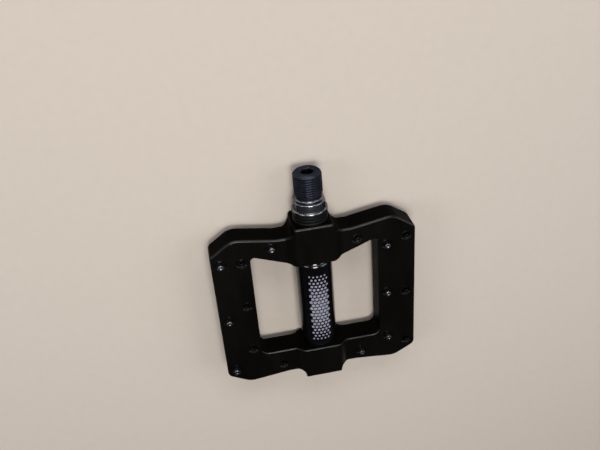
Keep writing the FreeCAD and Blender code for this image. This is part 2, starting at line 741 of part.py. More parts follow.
def grip_pin(name, across, station, side):
    """One grip pin: a stud through the platform, its blunt tip standing out, its socket sunk in."""
    stud = doc.addObject("Part::Cylinder", f"{name}_stud")
    stud.setExpression("Radius", bound("pin_radius"))
    stud.setExpression("Height", bound("platform_half_thickness * 2 - pin_sink - pin_seat_depth"))
    stud.setExpression("Placement.Base.z", bound("-platform_half_thickness + pin_sink"))
    tip = doc.addObject("Part::Cone", f"{name}_tip")
    tip.setExpression("Radius1", bound("pin_tip_radius + pin_tip_taper"))
    tip.setExpression("Radius2", bound("pin_tip_radius"))
    tip.setExpression("Height", bound("pin_height + pin_seat_depth"))
    tip.setExpression("Placement.Base.z", bound("platform_half_thickness - pin_seat_depth"))
    whole = doc.addObject("Part::Fuse", f"{name}_whole")
    whole.Base = stud
    whole.Tool = tip
    key = doc.addObject("Part::Prism", f"{name}_key")
    key.Polygon = 6
    key.setExpression("Circumradius", bound(f"pin_key_flats / {ROOT_THREE}"))
    key.setExpression("Height", bound("pin_key_depth"))
    key.setExpression("Placement.Base.z", bound("-platform_half_thickness + pin_sink"))
    pin = doc.addObject("Part::Cut", name)
    pin.Base = whole
    pin.Tool = key
    turn = FreeCAD.Rotation(FreeCAD.Vector(0, 1, 0), 0 if side > 0 else HALF_TURN)
    pin.Placement = FreeCAD.Placement(FreeCAD.Vector(across, -station, 0), turn)
    return pin


def add_grip_pins(label, places, side):
    pins = [grip_pin(f"{label}_{number}", across, station, side)
            for number, (across, station) in enumerate(places, start=1)]
    return group(label, pins)


def check_and_write():
    """Stop on any failed object or broken shape, then write each sub-part to its own file."""
    doc.recompute()
    failed = [item.Label for item in doc.Objects if {"Invalid", "Error"} & set(item.State)]
    assert not failed, f"failed objects: {failed}"
    os.makedirs("parts", exist_ok=True)
    for piece in pieces:
        shape = piece.Shape
        assert not shape.isNull() and shape.isValid() and shape.Solids, f"{piece.Label} has no sound shape"
        shape.exportStep(f"parts/{piece.Label}.step")
        print(f"{piece.Label:22s} {len(shape.Solids):3d} solids {shape.Volume:10.1f} mm3")


fill_sheet()
keep(add_platform_details(add_platform_body()), "platform_body")
keep(add_barrel_sleeve(), "barrel_sleeve")
keep(add_spindle(), "spindle")
keep(add_dust_seal(), "dust_seal")
keep(add_plain_bush(), "plain_bush")
for bearing, count in BEARINGS.items():
    add_bearing(bearing, count)
keep(add_axle_washer(), "axle_washer")
keep(add_axle_nut(), "axle_nut")
keep(add_end_cap(), "end_cap")
keep(add_cap_ring(), "end_cap_ring")
add_grip_pins("upper_grip_pins", UPPER_PINS, side=1)
add_grip_pins("lower_grip_pins", LOWER_PINS, side=-1)
check_and_write()
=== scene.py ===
"""Looks of a flat bicycle pedal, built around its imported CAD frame.

The frame is the CAD model's: the origin on the spindle's axis at the crank shoulder, +Y into the
crank, +Z up with the pedal lying flat, X across the rails. Blender works in metres, and the
sizes named here are in millimetres. A station is a distance from the crank shoulder towards the
pedal's outer end, so a station of 40 is at Y = -40 mm.
"""

import math

import bmesh
import bpy
import numpy as np
from mathutils import Matrix, Vector
from mathutils.geometry import delaunay_2d_cdt


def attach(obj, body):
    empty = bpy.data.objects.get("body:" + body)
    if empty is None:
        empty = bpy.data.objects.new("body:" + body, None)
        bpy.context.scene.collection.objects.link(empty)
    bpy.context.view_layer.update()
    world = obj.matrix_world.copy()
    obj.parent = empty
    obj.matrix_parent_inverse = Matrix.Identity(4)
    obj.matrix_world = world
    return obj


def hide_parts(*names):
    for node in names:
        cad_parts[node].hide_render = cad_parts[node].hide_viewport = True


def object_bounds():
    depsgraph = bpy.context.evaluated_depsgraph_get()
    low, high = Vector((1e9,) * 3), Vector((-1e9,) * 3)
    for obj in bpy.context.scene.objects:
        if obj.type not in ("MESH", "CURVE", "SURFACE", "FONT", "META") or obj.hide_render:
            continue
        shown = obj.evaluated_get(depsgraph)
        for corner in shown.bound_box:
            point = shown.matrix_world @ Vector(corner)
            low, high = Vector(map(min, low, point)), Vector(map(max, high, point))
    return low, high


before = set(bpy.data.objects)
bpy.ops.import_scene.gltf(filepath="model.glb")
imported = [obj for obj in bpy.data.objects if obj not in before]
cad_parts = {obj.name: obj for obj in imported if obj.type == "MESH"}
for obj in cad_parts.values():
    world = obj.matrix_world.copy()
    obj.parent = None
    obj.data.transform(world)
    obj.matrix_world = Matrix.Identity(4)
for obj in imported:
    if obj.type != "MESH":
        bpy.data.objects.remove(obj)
cad_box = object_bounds()

MM = 0.001
JOIN_DISTANCE = 0.001 * MM
SLIVER_LENGTH = 0.002 * MM
SHARP_DEG = 32.0
PLATFORM = "platform_group"
SPINDLE = "spindle_group"


# ---------------------------------------------------------------- camera

# The photograph's viewpoint in the pedal's frame: its place in metres, two axes, and its lens.
CAMERA_PLACE = (-0.047924, 0.170059, 0.300170)
CAMERA_RIGHT = (0.98026, -0.07306, 0.18373)
CAMERA_UP = (0.15746, 0.85043, -0.50197)
CAMERA_LENS_MM = 42.72
SENSOR_WIDTH_MM = 36.0


def add_camera():
    """A camera at the photograph's viewpoint, with its axes made square to each other."""
    up = Vector(CAMERA_UP)
    back = Vector(CAMERA_RIGHT).cross(up).normalized()
    right = up.cross(back).normalized()
    up = back.cross(right)
    camera = bpy.data.objects.new("camera", bpy.data.cameras.new("camera"))
    turn = Matrix((right, up, back)).transposed().to_4x4()
    camera.matrix_world = Matrix.Translation(CAMERA_PLACE) @ turn
    camera.data.sensor_width = SENSOR_WIDTH_MM
    camera.data.lens = CAMERA_LENS_MM
    camera.data.clip_start = 0.01
    bpy.context.scene.collection.objects.link(camera)
    bpy.context.scene.camera = camera


# ---------------------------------------------------------------- materials

class Look:
    """A Principled material and short ways to add nodes to it."""

    def __init__(self, name):
        self.material = bpy.data.materials.new(name)
        self.material.use_nodes = True
        self.tree = self.material.node_tree
        self.shader = next(node for node in self.tree.nodes if node.type == "BSDF_PRINCIPLED")
        coordinates = self.node("ShaderNodeTexCoord").outputs
        self.place, self.facing = coordinates["Object"], coordinates["Normal"]

    def node(self, kind, **inputs):
        """A new node, with its inputs given by name as values or as other nodes' outputs."""
        made = self.tree.nodes.new(kind)
        for socket, value in inputs.items():
            self.feed(value, made.inputs[socket.replace("_", " ")])
        return made

    def feed(self, value, socket):
        """Link an output to an input, or set the input to a plain value."""
        if isinstance(value, bpy.types.NodeSocket):
            self.tree.links.new(value, socket)
        else:
            socket.default_value = value

    def set(self, **inputs):
        """Give the Principled shader its inputs by name."""
        for socket, value in inputs.items():
            self.feed(value, self.shader.inputs[socket.replace("_", " ")])

    def scaled(self, scale):
        """Object coordinates stretched by a scale in each direction."""
        mapping = self.node("ShaderNodeMapping", Vector=self.place, Scale=scale)
        return mapping.outputs["Vector"]

    def maths(self, operation, first, second=0.0):
        """Blender's maths operation of that name on one or two numbers."""
        made = self.tree.nodes.new("ShaderNodeMath")
        made.operation = operation
        self.feed(first, made.inputs[0])
        self.feed(second, made.inputs[1])
        return made.outputs[0]

    def steepness(self, axis, vector=None):
        """How far the surface faces along an axis of the piece, either way, from 0 to 1."""
        split = self.node("ShaderNodeSeparateXYZ", Vector=vector or self.facing)
        return self.maths("ABSOLUTE", split.outputs[axis])

    def noise(self, scale, detail=3.0, rough=0.55, stretch=None):
        """Noise of so many spots to the metre, closer together along the stretched directions."""
        where = self.scaled(stretch) if stretch else self.place
        made = self.node("ShaderNodeTexNoise", Vector=where, Scale=scale, Detail=detail,
                         Roughness=rough)
        return made.outputs["Fac"]

    def between(self, factor, low, high, start=0.3, end=0.7):
        """A number that goes from low to high as the factor goes from start to end."""
        made = self.node("ShaderNodeMapRange", Value=factor)
        names = {"From Min": start, "From Max": end, "To Min": low, "To Max": high}
        for name, value in names.items():
            made.inputs[name].default_value = value
        return made.outputs["Result"]

    def mix(self, way, factor, first, second):
        """Two colours put together by Blender's blend type of that name."""
        made = self.tree.nodes.new("ShaderNodeMix")
        made.data_type = "RGBA"
        made.blend_type = way
        self.feed(factor, made.inputs[0])
        colour_inputs = [socket for socket in made.inputs if socket.type == "RGBA"]
        for colour, socket in zip((first, second), colour_inputs):
            self.feed(colour, socket)
        return next(socket for socket in made.outputs if socket.type == "RGBA")

    def blend(self, factor, low, high):
        """A colour that goes from low to high with the factor."""
        return self.mix("MIX", factor, (*low, 1.0), (*high, 1.0))

    def tint(self, colour, shade, factor):
        """A colour multiplied by a shade, as far as the factor says."""
        return self.mix("MULTIPLY", factor, colour, (*shade, 1.0))

    def bump(self, height, distance_mm, strength=1.0, before=None):
        """A normal bent by a height, on top of an earlier bump if there is one."""
        made = self.node("ShaderNodeBump", Height=height, Distance=distance_mm * MM,
                         Strength=strength)
        if before:
            self.feed(before, made.inputs["Normal"])
        return made.outputs["Normal"]


def moulded_nylon():
    """Black glass-filled nylon: satin treads, duller walls, edges rubbed glossier, a fine grain."""
    look = Look("moulded_nylon")
    flow = look.noise(90.0, detail=4.0, stretch=(1.0, 0.35, 1.0))
    grain = look.noise(2600.0, detail=2.0)
    tread = look.steepness("Z")
    edge = look.maths("MULTIPLY", tread, look.steepness("Y"))
    gloss = look.maths("ADD", look.between(tread, 0.004, 0.115, start=0.15, end=0.60),
                       look.between(edge, 0.0, 0.30, start=0.08, end=0.45))
    colour = look.blend(look.between(flow, 0.0, 1.0),
                        (0.0018, 0.0016, 0.0014), (0.0031, 0.0029, 0.0025))
    look.set(Base_Color=colour, Roughness=look.between(flow, 0.26, 0.34), Specular_IOR_Level=gloss)
    soft = look.bump(flow, 0.05, 0.25)
    look.set(Normal=look.bump(grain, 0.02, 0.35, before=soft))
    return look.material


def glossy_barrel():
    """Black anodised aluminium, turned and polished, with faint lines round the tube."""
    look = Look("glossy_barrel")
    lines = look.noise(60.0, detail=3.0, stretch=(1.0, 60.0, 1.0))
    haze = look.noise(140.0)
    colour = look.blend(look.between(haze, 0.0, 1.0),
                        (0.0016, 0.0016, 0.0021), (0.0029, 0.0029, 0.0037))
    gloss = look.between(look.steepness("Y"), 0.27, 0.75, start=0.05, end=0.25)
    look.set(Base_Color=colour, Roughness=look.between(lines, 0.11, 0.16), Specular_IOR_Level=gloss)
    look.set(Normal=look.bump(lines, 0.003, 0.15))
    return look.material


def dark_steel():
    """The spindle's steel: a turned and polished collar, and a darker and duller thread."""
    look = Look("dark_steel")
    lines = look.noise(90.0, detail=4.0, stretch=(1.0, 45.0, 1.0))
    tarnish = look.noise(260.0)
    height = look.node("ShaderNodeSeparateXYZ", Vector=look.place).outputs["Y"]
    thread_edge = {"start": 0.2 * MM, "end": 1.2 * MM}
    on_thread = look.between(height, 0.0, 1.0, **thread_edge)
    polished = look.blend(look.between(tarnish, 0.0, 1.0), (0.19, 0.20, 0.22), (0.30, 0.31, 0.34))
    colour = look.tint(polished, (0.19, 0.21, 0.26), on_thread)
    dullness = look.between(height, 0.0, 0.20, **thread_edge)
    rough = look.maths("ADD", look.between(lines, 0.19, 0.28), dullness)
    look.set(Base_Color=colour, Metallic=1.0, Roughness=rough,
             Specular_Tint=(0.30, 0.31, 0.34, 1.0))
    look.set(Normal=look.bump(lines, 0.010, 0.35))
    return look.material


def plain_rubber(name, colour):
    """Matt rubber of one colour, with a little lighter dust on it."""
    look = Look(name)
    dust = look.noise(420.0, detail=4.0)
    dusty = look.between(dust, 0.0, 1.0, start=0.45, end=0.75)
    lighter = tuple(channel * 1.7 + 0.001 for channel in colour)
    look.set(Base_Color=look.blend(dusty, colour, lighter),
             Roughness=look.between(dust, 0.42, 0.58), Specular_IOR_Level=0.2)
    look.set(Normal=look.bump(look.noise(2200.0, detail=2.0), 0.02, 0.4))
    return look.material


def plain_plastic(name, dark, light, rough=(0.3, 0.45)):
    """Moulded plastic that varies between two colours, with a fine grain."""
    look = Look(name)
    cloud = look.noise(300.0, detail=3.0)
    look.set(Base_Color=look.blend(look.between(cloud, 0.0, 1.0), dark, light),
             Roughness=look.between(cloud, *rough))
    look.set(Normal=look.bump(look.noise(1800.0, detail=2.0), 0.012, 0.4))
    return look.material


def plain_metal(name, dark, light, rough):
    """Turned metal that varies between two colours, with fine lines round it."""
    look = Look(name)
    lines = look.noise(150.0, detail=3.0, stretch=(1.0, 30.0, 1.0))
    cloud = look.noise(380.0)
    look.set(Base_Color=look.blend(look.between(cloud, 0.0, 1.0), dark, light), Metallic=1.0,
             Roughness=look.between(lines, *rough))
    look.set(Normal=look.bump(lines, 0.008, 0.4))
    return look.material


def pin_steel():
    """Steel of the grip pins, rubbed bright in patches, with painted shade on the part that sits
    below the tread.
    """
    look = Look("pin_steel")
    rubbed = look.noise(700.0, detail=3.0)
    marks = look.noise(320.0, detail=3.0, stretch=(1.0, 1.0, 12.0))
    bright = look.blend(look.between(rubbed, 0.0, 1.0, start=0.42, end=0.72),
                        (0.10, 0.105, 0.12), (0.27, 0.28, 0.31))
    from_middle = look.steepness("Z", look.place)
    # Painted shade: the colour is darkened where the pin lies below the tread's surface, in its
    # seat and in the platform.
    painted_seat_shade = look.between(from_middle, 1.0, 0.0, start=6.1 * MM, end=6.7 * MM)
    colour = look.tint(bright, (0.13, 0.13, 0.14), painted_seat_shade)
    look.set(Base_Color=colour, Metallic=1.0, Roughness=look.between(marks, 0.22, 0.38))
    look.set(Normal=look.bump(marks, 0.01, 0.4))
    return look.material


def printed_ink():
    """The pale ink on the barrel: matt, very slightly worn and speckled."""
    look = Look("printed_ink")
    wear = look.noise(900.0, detail=4.0)
    colour = look.blend(look.between(wear, 0.0, 1.0, start=0.30, end=0.62),
                        (0.20, 0.20, 0.26), (0.30, 0.30, 0.38))
    look.set(Base_Color=colour, Roughness=look.between(wear, 0.6, 0.4))
    return look.material


def paper_floor():
    """A pale matt studio floor with faint fibres."""
    look = Look("paper_floor")
    fibre = look.noise(220.0, detail=5.0)
    colour = look.blend(look.between(fibre, 0.0, 1.0),
                        (0.565, 0.502, 0.440), (0.583, 0.518, 0.455))
    look.set(Base_Color=colour, Roughness=0.9)
    return look.material


def paint(piece, material):
    """Give a piece one material, in every slot it has."""
    if not piece.data.materials:
        piece.data.materials.append(material)
    for index in range(len(piece.data.materials)):
        piece.data.materials[index] = material


# ---------------------------------------------------------------- stage

# In metres
FLOOR_SIZE = 3.0
FLOOR_GAP = 0.0002


def add_stage():
    """A pale floor under the pedal, a large soft light above it, and weaker ones round it."""
    low, high = cad_box
    centre = (low + high) / 2
    floor_place = (centre.x, centre.y, low.z - FLOOR_GAP)
    bpy.ops.mesh.primitive_plane_add(size=FLOOR_SIZE, location=floor_place)
    floor = bpy.context.object
    floor.name = "floor"
    paint(floor, paper_floor())

    def area_light(name, where, size, power, colour):
        light = bpy.data.objects.new(name, bpy.data.lights.new(name, "AREA"))
        light.data.shape = "RECTANGLE"
        light.data.size, light.data.size_y = size
        light.data.energy = power
        light.data.color = colour
        light.location = where
        light.rotation_euler = (centre - Vector(where)).to_track_quat("-Z", "Y").to_euler()
        bpy.context.scene.collection.objects.link(light)

    area_light("key", (-0.03, 0.03, 0.80), (0.34, 0.28), 4.3, (1.0, 0.975, 0.94))
    area_light("crank_end_strip", (0.0, 0.62, 0.42), (0.70, 0.22), 2.4, (1.0, 0.98, 0.96))
    area_light("right_fill", (0.75, 0.10, 0.60), (0.6, 0.6), 2.4, (0.92, 0.95, 1.0))
    area_light("left_edge", (-0.60, 0.10, 0.42), (0.16, 0.30), 1.0, (0.94, 0.96, 1.0))

    world = bpy.data.worlds.new("soft_room")
    world.use_nodes = True
    background = world.node_tree.nodes["Background"]
    background.inputs["Color"].default_value = (0.80, 0.82, 0.86, 1.0)
    background.inputs["Strength"].default_value = 0.05
    bpy.context.scene.world = world
    bpy.context.scene.view_settings.view_transform = "Standard"


# ---------------------------------------------------------------- mesh tools

def shade_smooth(mesh, sharp_deg=SHARP_DEG):
    """Shade a mesh smooth, apart from edges sharper than the angle."""
    mesh.polygons.foreach_set("use_smooth", [True] * len(mesh.polygons))
    mesh.set_sharp_from_angle(angle=math.radians(sharp_deg))


def finish_mesh(name, vertices, faces, material, body, nodes=(), sharp_deg=SHARP_DEG):
    """Make a piece from vertices in millimetres, and tie it to the body it moves with."""
    mesh = bpy.data.meshes.new(name)
    mesh.from_pydata([tuple(float(value) * MM for value in vertex) for vertex in vertices], [],
                     [tuple(int(corner) for corner in face) for face in faces])
    mesh.validate()
    shaped = bmesh.new()
    shaped.from_mesh(mesh)
    bmesh.ops.remove_doubles(shaped, verts=shaped.verts, dist=JOIN_DISTANCE)
    bmesh.ops.recalc_face_normals(shaped, faces=shaped.faces)
    shaped.to_mesh(mesh)
    shaped.free()
    shade_smooth(mesh, sharp_deg)
    piece = bpy.data.objects.new(name, mesh)
    bpy.context.scene.collection.objects.link(piece)
    paint(piece, material)
    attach(piece, body)
    if nodes:
        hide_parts(*nodes)
    return piece


def even_normals(piece):
    """Shade wide flat faces flat and leave the bending of light to the narrow rounded edges."""
    weighted = piece.modifiers.new("weighted_normals", "WEIGHTED_NORMAL")
    weighted.keep_sharp = True


def rounded_corners(corners, step_deg=9.0, straight_deg=179.5):
    """Points of a closed outline whose corners, (across, along, radius), are rounded with arcs."""
    points = []
    for index, (across, along, radius) in enumerate(corners):
        corner = np.array((across, along), float)
        before = np.array(corners[index - 1][:2], float) - corner
        after = np.array(corners[(index + 1) % len(corners)][:2], float) - corner
        before, after = before / np.linalg.norm(before), after / np.linalg.norm(after)
        opening = math.acos(max(-1.0, min(1.0, float(before @ after))))
        if radius <= 0 or opening > math.radians(straight_deg):
            points.append(corner)
            continue
        bisector = (before + after) / np.linalg.norm(before + after)
        centre = corner + bisector * radius / math.sin(opening / 2)
        reach = radius / math.tan(opening / 2)
        first, last = corner + before * reach - centre, corner + after * reach - centre
        turn = math.pi - opening
        sense = math.copysign(1.0, first[0] * last[1] - first[1] * last[0])
        count = max(3, math.ceil(math.degrees(turn) / step_deg) + 1)
        for share in np.linspace(0.0, 1.0, count):
            angle = sense * turn * share
            cosine, sine = math.cos(angle), math.sin(angle)
            points.append(centre + np.array(((cosine, -sine), (sine, cosine))) @ first)
    return np.array(points)


def ring_faces(ring_count, size, closed):
    """Quads from each ring to the next, and from the last to the first if closed."""
    faces = []
    for ring in range(ring_count if closed else ring_count - 1):
        here, there = ring * size, (ring + 1) % ring_count * size
        faces += [(here + i, here + (i + 1) % size, there + (i + 1) % size, there + i)
                  for i in range(size)]
    return faces


def around(radii, y, angles):
    """A ring about the spindle's axis: one radius, or one for each angle, at a height Y."""
    radii = np.broadcast_to(radii, angles.shape)
    heights = np.full_like(angles, y)
    return np.stack((radii * np.cos(angles), heights, radii * np.sin(angles)), axis=1)


def even_angles(count):
    """So many angles evenly round a circle."""
    return np.linspace(0.0, math.tau, count, endpoint=False)


def lathe(profile, count=120):
    """Vertices and faces of a closed profile of (radius, station), turned about the axis."""
    angles = even_angles(count)
    rings = [around(radius, -station, angles) for radius, station in profile]
    return np.concatenate(rings), ring_faces(len(rings), count, closed=True)


def capped(rings):
    """Vertices and faces of a stack of rings, closed by a point in the middle of each end."""
    size = len(rings[0])
    vertices = np.concatenate([*rings, [rings[0].mean(axis=0), rings[-1].mean(axis=0)]])
    faces = ring_faces(len(rings), size, closed=False)
    first, last, start = len(vertices) - 2, len(vertices) - 1, (len(rings) - 1) * size
    faces += [(first, (i + 1) % size, i) for i in range(size)]
    faces += [(last, start + i, start + (i + 1) % size) for i in range(size)]
    return vertices, faces


def joined(parts):
    """Several (vertices, faces) as one."""
    vertices, faces, offset = [], [], 0
    for points, polygons in parts:
        vertices.append(points)
        faces += [tuple(corner + offset for corner in polygon) for polygon in polygons]
        offset += len(points)
    return np.concatenate(vertices), faces


# ---------------------------------------------------------------- platform

# Rails, wings and the edges between them. A fade is from one Y to another.
HALF_WIDTH = 52.5
HALF_THICKNESS = 6.5
EDGE_ROUND = 0.8
WIDE_EDGE_ROUND = 1.1
WIDE_EDGE_FADE = (-103.0, -95.0)
OUTLINE_BORDER = 0.09
OPENING_BORDER = 0.35
WING_DIP = 19.0
WING_DIP_AT = 17.5
WING_PEAK = 40.8
WING_PEAK_AT = 13.8
OUTER_PEAK_AT = 106.0
OUTER_DIP_AT = 103.6
WING_ROUND = 9.0
CORNER_AT = 22.0
OUTER_CORNER_AT = 99.5
CORNER_ROUND = 3.5

# Hubs
HUB_FACE = 11.5
HUB_INNER = 33.5
OUTER_HUB_INNER = 88.3
OUTER_FACE = 107.5
HUB_HALF_WIDTH = 10.2
HUB_HALF_HEIGHT = 10.0
HUB_TOP_HALF_WIDTH = 9.0
HUB_FOOT_HALF_WIDTH = 14.6
HUB_CORNER_ROUND = 1.4
OUTER_HUB_CORNER_ROUND = 1.05
HUB_CURVE = 4.55
OUTER_HUB_CURVE = 2.8

# The opening between the rails
OPENING_HALF_WIDTH = 32.7
OPENING_CORNER_AT = 25.3
OPENING_CORNER_ROUND = 2.0
OPENING_OUTER_ROUND = 4.0
SHOULDER_HALF_WIDTH = 11.5
SHOULDER_ROUND = 1.6

# Bores for the seal's spigot, the sleeve and the end cap, and where the sleeve lies in them
SPIGOT_RADIUS = 7.8
SLEEVE_NECK = 8.5
CAP_BORE = 8.9
BORE_LIP = 0.3
BORE_SEGMENTS = 96
SLEEVE_START = 15.0
SLEEVE_END = 106.0

# Spacing of the vertices along the walls, and of the grid over the hubs
WALL_SPACING = 0.7
GRID_HALF_WIDTH = 17.0
GRID_STEP_ACROSS = 0.5
GRID_STEP_ALONG = 0.8
GRID_CLEARANCE = 0.45

# Grip pins as (across, station), and the sunk seat round each as (distance from the pin, depth)
PIN_RADIUS = 2.0
UPPER_PINS = [(-47.6, 26.8), (-47.6, 62.0), (-47.6, 95.5),
              (37.1, 30.1), (37.1, 60.2), (37.1, 90.3),
              (-21.7, 21.5), (21.7, 97.5)]
LOWER_PINS = [(-37.2, 27.8), (-37.2, 54.7), (-37.2, 83.2),
              (47.6, 26.8), (47.6, 62.0), (47.6, 95.5),
              (21.9, 24.0), (-21.7, 97.5)]
PIN_SEAT = [(0.0, 0.62), (0.12, 0.5), (0.72, 0.5), (0.9, 0.36),
            (0.92, 0.14), (1.0, 0.03), (1.12, 0.0)]


def smooth_step(value, low, high):
    """A number that eases from 0 at low to 1 at high."""
    share = np.clip((np.asarray(value, float) - low) / (high - low), 0.0, 1.0)
    return share * share * (3.0 - 2.0 * share)


def surface_height(across):
    """Half the thickness at a distance from the middle: a hub's top, a soft ramp, then flat."""
    rise = HUB_HALF_HEIGHT - HALF_THICKNESS
    lowered = smooth_step(np.abs(across), HUB_TOP_HALF_WIDTH, HUB_FOOT_HALF_WIDTH)
    return HALF_THICKNESS + rise * (1.0 - lowered)


def mirror_outline(half):
    """A closed outline from its right half, going round by the right and back by the left."""
    return half + [(-across, along, radius) for across, along, radius in reversed(half)]


def evenly_spaced(points, spacing):
    """A closed outline's points with long spans divided."""
    dense = []
    for start, end in zip(points, np.roll(points, -1, axis=0)):
        count = max(1, math.ceil(np.linalg.norm(end - start) / spacing))
        dense += [start + (end - start) * step / count for step in range(count)]
    return np.array(dense)


def inward_normals(points):
    """Normals at an outline's points, to the left of its way round.

    Each is long enough at a corner for an inset edge to stay parallel to its wall.
    """
    way = np.roll(points, -1, axis=0) - points
    way /= np.linalg.norm(way, axis=1)[:, None]
    left = np.stack((-way[:, 1], way[:, 0]), axis=1)
    both = left + np.roll(left, 1, axis=0)
    length = np.linalg.norm(both, axis=1)
    return both / (length ** 2 / 2)[:, None]


def turned_left(points, solid_inside):
    """The outline in the direction that has the solid on its left."""
    following = np.roll(points, -1, axis=0)
    area = np.sum(points[:, 0] * following[:, 1] - following[:, 0] * points[:, 1])
    return points if (area > 0) == solid_inside else points[::-1]


def without_doubles(points):
    """A closed outline's points, with any that repeats the one before it left out."""
    gap = np.linalg.norm(points - np.roll(points, 1, axis=0), axis=1)
    return points[gap > 0.01]


def rounded_rim(radius, border, steps=6):
    """(inset, depth) from a wall over a rounded edge, and across a border on the surface."""
    angles = np.linspace(0.0, math.pi / 2, steps + 1)
    rim = [(radius * (1 - math.cos(angle)), radius * (1 - math.sin(angle))) for angle in angles]
    return rim + [(radius + border, 0.0)]


def inside(points, outline):
    """Whether each point lies inside a closed outline."""
    hit = np.zeros(len(points), bool)
    for (ax, ay), (bx, by) in zip(outline, np.roll(outline, -1, axis=0)):
        crosses = (ay > points[:, 1]) != (by > points[:, 1])
        if crosses.any():
            reach = (bx - ax) * (points[:, 1] - ay) / ((by - ay) or 1.0) + ax
            hit ^= crosses & (points[:, 0] < reach)
    return hit


def circle_at(across, along, segments=40):
    """A pin's hole as a closed outline."""
    angles = even_angles(segments)
    return np.stack((across + PIN_RADIUS * np.cos(angles),
                     along + PIN_RADIUS * np.sin(angles)), 1)


def platform_loops():
    """Each closed edge of the platform as (points, profile, growth, whether it is the outside).

    A profile goes from the wall to the surface, and growth scales it at each point.
    """
    outline = [
        (HUB_HALF_WIDTH, -HUB_FACE, HUB_CORNER_ROUND),
        (HUB_HALF_WIDTH, -WING_DIP_AT, HUB_CURVE),
        (WING_DIP, -WING_DIP_AT, WING_ROUND),
        (WING_PEAK, -WING_PEAK_AT, WING_ROUND),
        (HALF_WIDTH, -CORNER_AT, CORNER_ROUND),
        (HALF_WIDTH, -OUTER_CORNER_AT, CORNER_ROUND),
        (WING_PEAK, -OUTER_PEAK_AT, WING_ROUND),
        (WING_DIP, -OUTER_DIP_AT, WING_ROUND),
        (HUB_HALF_WIDTH, -OUTER_DIP_AT, OUTER_HUB_CURVE),
        (HUB_HALF_WIDTH, -OUTER_FACE, OUTER_HUB_CORNER_ROUND)]
    opening = [
        (SHOULDER_HALF_WIDTH, -HUB_INNER, SHOULDER_ROUND),
        (OPENING_HALF_WIDTH, -OPENING_CORNER_AT, OPENING_CORNER_ROUND),
        (OPENING_HALF_WIDTH, -OUTER_HUB_INNER, OPENING_OUTER_ROUND)]
    loops = [(mirror_outline(outline), rounded_rim(EDGE_ROUND, OUTLINE_BORDER), True),
             (mirror_outline(opening), rounded_rim(EDGE_ROUND, OPENING_BORDER), False)]
    made = []
    for corners, rim, solid_inside in loops:
        points = evenly_spaced(without_doubles(rounded_corners(corners)), WALL_SPACING)
        points = turned_left(points, solid_inside)
        wider = WIDE_EDGE_ROUND / EDGE_ROUND - 1.0 if solid_inside else 0.0
        growth = 1.0 + wider * smooth_step(points[:, 1], *WIDE_EDGE_FADE)
        made.append((points, rim, growth[:, None], solid_inside))
    for across, station in UPPER_PINS + LOWER_PINS:
        made.append((turned_left(circle_at(across, -station), False), PIN_SEAT, 1.0, False))
    return made


def hub_grid(shapes):
    """Points of a fine grid over the hubs that lie on the surface, clear of every edge."""
    grid = np.array([
        (x, y)
        for x in np.arange(-GRID_HALF_WIDTH, GRID_HALF_WIDTH + 0.01, GRID_STEP_ACROSS)
        for y in np.arange(-OUTER_FACE, -HUB_FACE, GRID_STEP_ALONG)])
    keep = np.ones(len(grid), bool)
    for shape, solid_inside in shapes:
        keep &= inside(grid, shape) == solid_inside
        near = np.min(np.linalg.norm(grid[:, None] - shape[None], axis=2), axis=1)
        keep &= near > GRID_CLEARANCE
    return grid[keep]


def platform_shell():
    """Vertices and faces of the platform before its bores: walls, rims and the two wide faces."""
    vertices, faces, surface_rings, shapes = [], [], [], []
    for points, profile, growth, solid_inside in platform_loops():
        normals = inward_normals(points)
        start, size = len(vertices), len(points)
        for side, rings in ((-1, reversed(profile)), (1, profile)):
            for inset, depth in rings:
                place = points + normals * inset * growth
                height = side * (surface_height(place[:, 0]) - depth * np.ravel(growth))
                vertices += [(x, y, z) for (x, y), z in zip(place, height)]
        count = 2 * len(profile)
        faces += [tuple(start + corner for corner in face)
                  for face in ring_faces(count, size, closed=False)]
        surface_rings.append((start, start + (count - 1) * size, size))
        shapes.append((points + normals * profile[-1][0] * growth, solid_inside))

    # The wide faces: each loop's last ring, and a fine grid over the hubs, where the surface bends.
    # An owner is a flat point's vertex on the lower face and its vertex on the upper one.
    flat = [tuple(point) for shape, _ in shapes for point in shape]
    edges, owners = [], []
    for below, above, size in surface_rings:
        offset = len(owners)
        edges += [(offset + i, offset + (i + 1) % size) for i in range(size)]
        owners += [(below + i, above + i) for i in range(size)]
    for x, y in hub_grid(shapes):
        flat.append((x, y))
        height = float(surface_height(x))
        owners.append((len(vertices), len(vertices) + 1))
        vertices += [(x, y, -height), (x, y, height)]
    found = delaunay_2d_cdt([Vector(point) for point in flat], edges, [], 1, 1e-6)
    spots, triangles, sources = found[0], found[2], found[3]
    middles = np.array([sum((spots[corner] for corner in face), Vector((0, 0))) / 3
                        for face in triangles])
    solid = np.ones(len(middles), bool)
    for shape, solid_inside in shapes:
        solid &= inside(middles, shape) == solid_inside
    for face, kept in zip(triangles, solid):
        if kept:
            corners = [owners[sources[corner][0]] for corner in face]
            faces.append(tuple(above for _, above in corners))
            faces.append(tuple(below for below, _ in reversed(corners)))
    return vertices, faces


def cut_with(piece, profile):
    """Cut a profile of (radius, station), turned about the axis, out of a piece."""
    angles = even_angles(BORE_SEGMENTS)
    vertices, faces = capped([around(radius, -station, angles) for radius, station in profile])
    mesh = bpy.data.meshes.new("cutter")
    mesh.from_pydata([tuple(vertex * MM) for vertex in vertices], [], faces)
    cutter = bpy.data.objects.new("cutter", mesh)
    bpy.context.scene.collection.objects.link(cutter)
    boolean = piece.modifiers.new("bore", "BOOLEAN")
    boolean.object = cutter
    boolean.operation = "DIFFERENCE"
    boolean.solver = "EXACT"
    graph = bpy.context.evaluated_depsgraph_get()
    cut = bpy.data.meshes.new_from_object(piece.evaluated_get(graph), depsgraph=graph)
    piece.modifiers.remove(boolean)
    bpy.data.objects.remove(cutter)
    piece.data = cut


